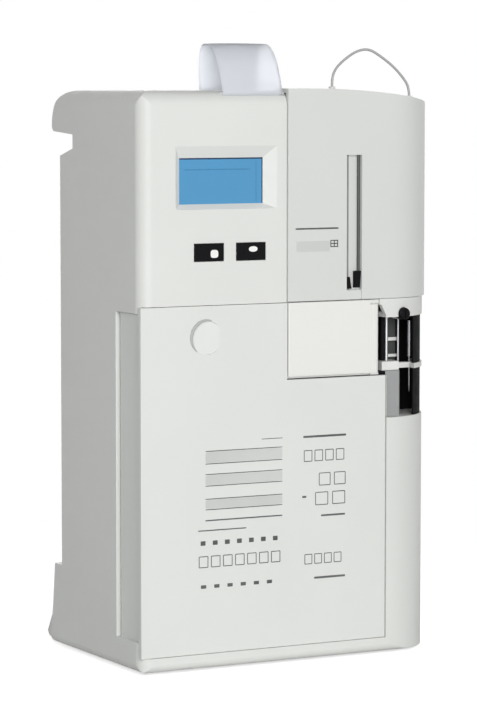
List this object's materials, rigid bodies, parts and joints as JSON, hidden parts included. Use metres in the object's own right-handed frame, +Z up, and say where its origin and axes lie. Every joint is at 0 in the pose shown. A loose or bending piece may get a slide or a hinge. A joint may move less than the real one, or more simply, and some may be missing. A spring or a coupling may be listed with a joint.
{
  "type": "electrolyte analyzer",
  "caption": "Upright bench electrolyte analyzer with slide-out reagent pack, curved sensor door, pump cover, sampler, display with keys and a paper printer on top.",
  "frame": {"origin": "middle of the footprint on the table", "axes": "+Z up, front faces -Y, +X to the right seen from the front"},
  "size_m": [0.241, 0.19, 0.4263],
  "materials": {
    "housing_plastic": "fine textured moulding",
    "cover_plastic": "smooth satin",
    "pack_plastic": "fine textured moulding",
    "dark_plastic": "satin",
    "key_plastic": "gloss",
    "window_glass": "clear over a blue display",
    "display_module": "satin",
    "circuit_board": "solder mask",
    "white_plastic": "satin",
    "grey_plastic": "satin",
    "clear_plastic": "translucent",
    "bottle_plastic": "translucent",
    "steel": "brushed",
    "aluminium": "bead blasted",
    "plated_metal": "bright",
    "rubber": "matt",
    "paper": "thermal paper"
  },
  "bodies": {
    "cabinet": {"main_housing": "housing_plastic", "base_plate": "grey_plastic", "rubber_feet": "rubber", "back_cover": "housing_plastic", "case_screws": "steel", "pack_bay": "grey_plastic", "pack_connector": "dark_plastic", "lcd_window": "window_glass", "lcd_module": "display_module", "display_board": "circuit_board", "sensor_bay": "white_plastic", "electrode_rack": "grey_plastic", "reference_electrode": "clear_plastic", "sodium_electrode": "clear_plastic", "potassium_electrode": "clear_plastic", "chloride_electrode": "clear_plastic", "sample_detector": "dark_plastic", "electrode_board": "circuit_board", "door_hinge_pins": "steel", "pump_bay": "housing_plastic", "pump_motor": "aluminium", "pump_tube": "clear_plastic", "valve_body": "white_plastic", "valve_motor": "aluminium", "sampler_liner": "dark_plastic", "probe_motor": "grey_plastic", "probe_frame": "grey_plastic", "guide_rods": "steel", "printer_frame": "dark_plastic", "paper_strip": "paper", "main_board": "circuit_board", "power_supply": "aluminium", "power_inlet": "dark_plastic", "switch_frame": "dark_plastic", "serial_port": "plated_metal", "tube_fittings": "clear_plastic", "sample_tube": "clear_plastic"},
    "pack": {"pack_front": "pack_plastic", "pack_body": "pack_plastic", "waste_bottle": "bottle_plastic", "standard_a_bottle": "bottle_plastic", "standard_b_bottle": "bottle_plastic"},
    "door": {"sensor_door": "cover_plastic", "door_tubes": "grey_plastic", "door_tube_fittings": "dark_plastic"},
    "cover": {"pump_cover": "cover_plastic"},
    "rotor": {"pump_rotor": "white_plastic", "pump_rollers": "steel"},
    "valve": {"valve_rotor": "grey_plastic"},
    "probe": {"probe_carriage": "white_plastic", "probe_needle": "steel"},
    "screw": {"lead_screw": "steel"},
    "knob": {"sampler_knob": "key_plastic"},
    "left_key": {"key_left": "key_plastic"},
    "right_key": {"key_right": "key_plastic"},
    "platen": {"platen_roller": "rubber"},
    "roll": {"paper_roll": "paper"},
    "lid": {"printer_lid": "housing_plastic"},
    "switch": {"power_switch": "dark_plastic"},
    "clamp": {"clamp_screw": "dark_plastic"}
  },
  "joints": [
    {"name": "pack_slide", "type": "slide", "parent": "cabinet", "child": "pack", "axis": [-1, 0, 0], "range_m": [0, 0.18]},
    {"name": "door_hinge", "type": "hinge", "parent": "cabinet", "child": "door", "pos_m": [0.116, -0.0415, 0.3], "axis": [0, 0, 1], "range_deg": [0, 95]},
    {"name": "cover_hinge", "type": "hinge", "parent": "cabinet", "child": "cover", "pos_m": [0.0605, -0.0911, 0.224], "axis": [0, 0, 1], "range_deg": [0, 90]},
    {"name": "pump_spin", "type": "hinge", "parent": "cabinet", "child": "rotor", "pos_m": [0.0155, -0.0595, 0.224], "axis": [0, 1, 0], "continuous": true},
    {"name": "valve_turn", "type": "hinge", "parent": "cabinet", "child": "valve", "pos_m": [0.0495, -0.0595, 0.224], "axis": [0, 1, 0], "range_deg": [-90, 90]},
    {"name": "probe_lift", "type": "slide", "parent": "cabinet", "child": "probe", "axis": [0, 0, 1], "range_m": [0, 0.014]},
    {"name": "screw_spin", "type": "hinge", "parent": "cabinet", "child": "screw", "pos_m": [0.077, -0.0755, 0.215], "axis": [0, 0, 1], "range_deg": [-10, 640]},
    {"name": "knob_turn", "type": "hinge", "parent": "cabinet", "child": "knob", "pos_m": [0.0843, -0.0915, 0.2391], "axis": [0, 1, 0], "range_deg": [0, 90]},
    {"name": "left_key_press", "type": "slide", "parent": "cabinet", "child": "left_key", "axis": [0, 1, 0], "range_m": [0, 0.0009], "stiffness_N_per_m": 400, "springref_m": -0.0008},
    {"name": "right_key_press", "type": "slide", "parent": "cabinet", "child": "right_key", "axis": [0, 1, 0], "range_m": [0, 0.0009], "stiffness_N_per_m": 400, "springref_m": -0.0008},
    {"name": "roll_spin", "type": "hinge", "parent": "cabinet", "child": "roll", "pos_m": [-0.0335, -0.0215, 0.364], "axis": [1, 0, 0], "continuous": true},
    {"name": "platen_spin", "type": "hinge", "parent": "cabinet", "child": "platen", "pos_m": [-0.0335, -0.0785, 0.379], "axis": [1, 0, 0], "continuous": true},
    {"name": "lid_hinge", "type": "hinge", "parent": "cabinet", "child": "lid", "pos_m": [-0.03605, 0.006, 0.3918], "axis": [-1, 0, 0], "range_deg": [0, 90]},
    {"name": "power_rocker", "type": "hinge", "parent": "cabinet", "child": "switch", "pos_m": [-0.0097, 0.0845, 0.046], "axis": [1, 0, 0], "range_deg": [-7, 7]},
    {"name": "clamp_turn", "type": "hinge", "parent": "cabinet", "child": "clamp", "pos_m": [0.0415, -0.0395, 0.371], "axis": [0, 0, 1], "range_deg": [0, 270]}
  ],
  "couplings": [
    {"joint": "screw_spin", "follows": "probe_lift", "rad_per_m": 785.4},
    {"joint": "platen_spin", "follows": "roll_spin", "ratio": 3.8}
  ]
}
